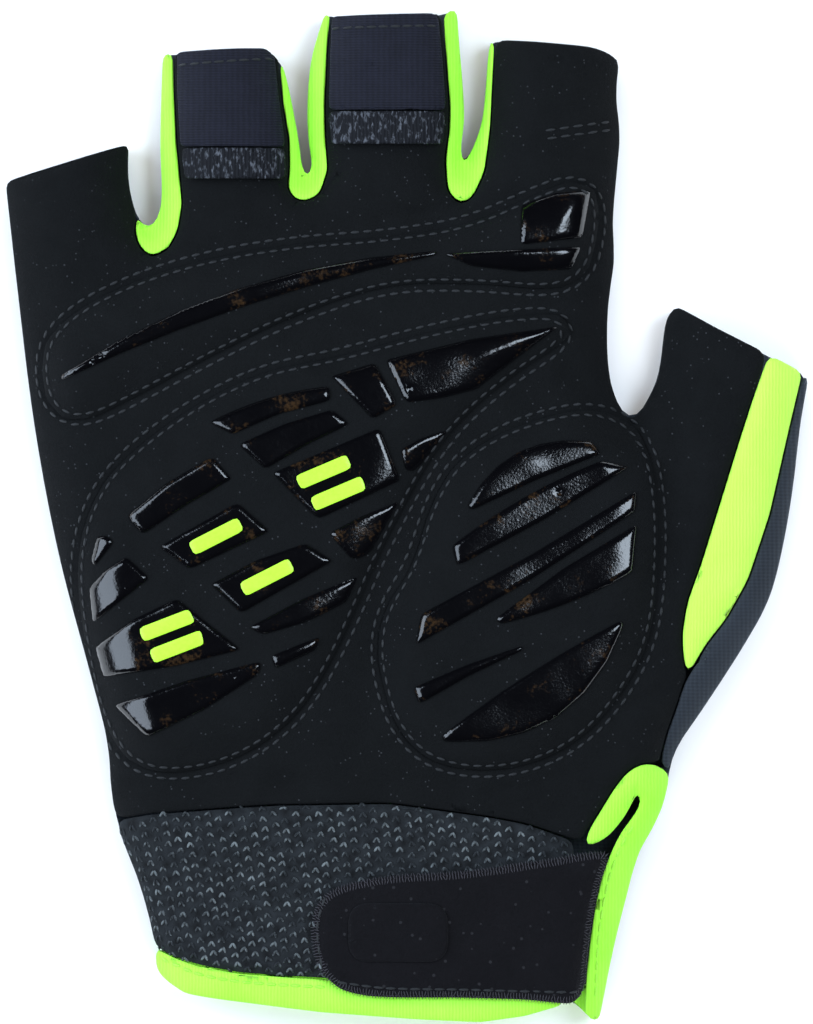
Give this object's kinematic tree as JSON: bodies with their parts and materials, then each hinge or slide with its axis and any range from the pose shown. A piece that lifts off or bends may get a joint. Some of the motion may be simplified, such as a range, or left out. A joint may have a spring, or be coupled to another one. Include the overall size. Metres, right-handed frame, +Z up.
{
  "type": "fingerless cycling glove",
  "caption": "Fingerless right-hand cycling glove lying palm up, with gel zones, glossy silicone prints, finger pull-off tabs, a mesh cuff and a closure strap.",
  "frame": {"origin": "middle of the glove's footprint, on the surface it lies on", "axes": "+X towards the thumb, +Y towards the fingertips, +Z up out of the palm"},
  "size_m": [0.137, 0.1727, 0.0177],
  "materials": {
    "suede": "napped synthetic suede",
    "stretch": "smooth stretch knit",
    "neon": "neon stretch cloth",
    "neon_stripe": "neon stretch cloth",
    "silicone": "glossy",
    "accent": "matt print",
    "navy": "fine weave",
    "navy_speck": "specked weave",
    "knit": "loop mesh",
    "webbing": "brushed"
  },
  "bodies": {
    "root": {"fourchette_little_ring": "neon", "fourchette_ring_middle": "neon", "fourchette_middle_index": "neon", "hem_binding_palm": "neon", "slit_binding": "neon", "hem_binding_back": "neon", "thumb_stripe": "neon_stripe", "palm_panel": "suede", "thumb_back": "stretch", "back_panel": "stretch", "cuff_mesh": "knit", "closure_strap": "webbing", "strap_grip": "webbing", "knuckle_pad": "suede", "heel_pad": "suede", "thumb_pad": "suede", "knuckle_print_1": "silicone", "knuckle_print_2": "silicone", "knuckle_print_3": "silicone", "heel_print_1": "silicone", "heel_print_2": "silicone", "heel_print_3": "silicone", "heel_print_4": "silicone", "heel_print_5": "silicone", "heel_print_6": "silicone", "heel_print_7": "silicone", "heel_print_8": "silicone", "heel_print_9": "silicone", "heel_print_10": "silicone", "heel_print_11": "silicone", "heel_print_12": "silicone", "heel_print_13": "silicone", "heel_print_14": "silicone", "heel_print_15": "silicone", "heel_print_16": "silicone", "thumb_print_1": "silicone", "thumb_print_2": "silicone", "thumb_print_3": "silicone", "thumb_print_4": "silicone", "thumb_print_5": "silicone", "thumb_print_6": "silicone", "accent_bar_1": "accent", "accent_bar_2": "accent", "accent_bar_3": "accent", "accent_bar_4": "accent", "accent_bar_5": "accent", "accent_bar_6": "accent", "ring_tab": "navy", "ring_tab_edge": "navy_speck", "middle_tab": "navy", "middle_tab_edge": "navy_speck"}
  },
  "joints": []
}
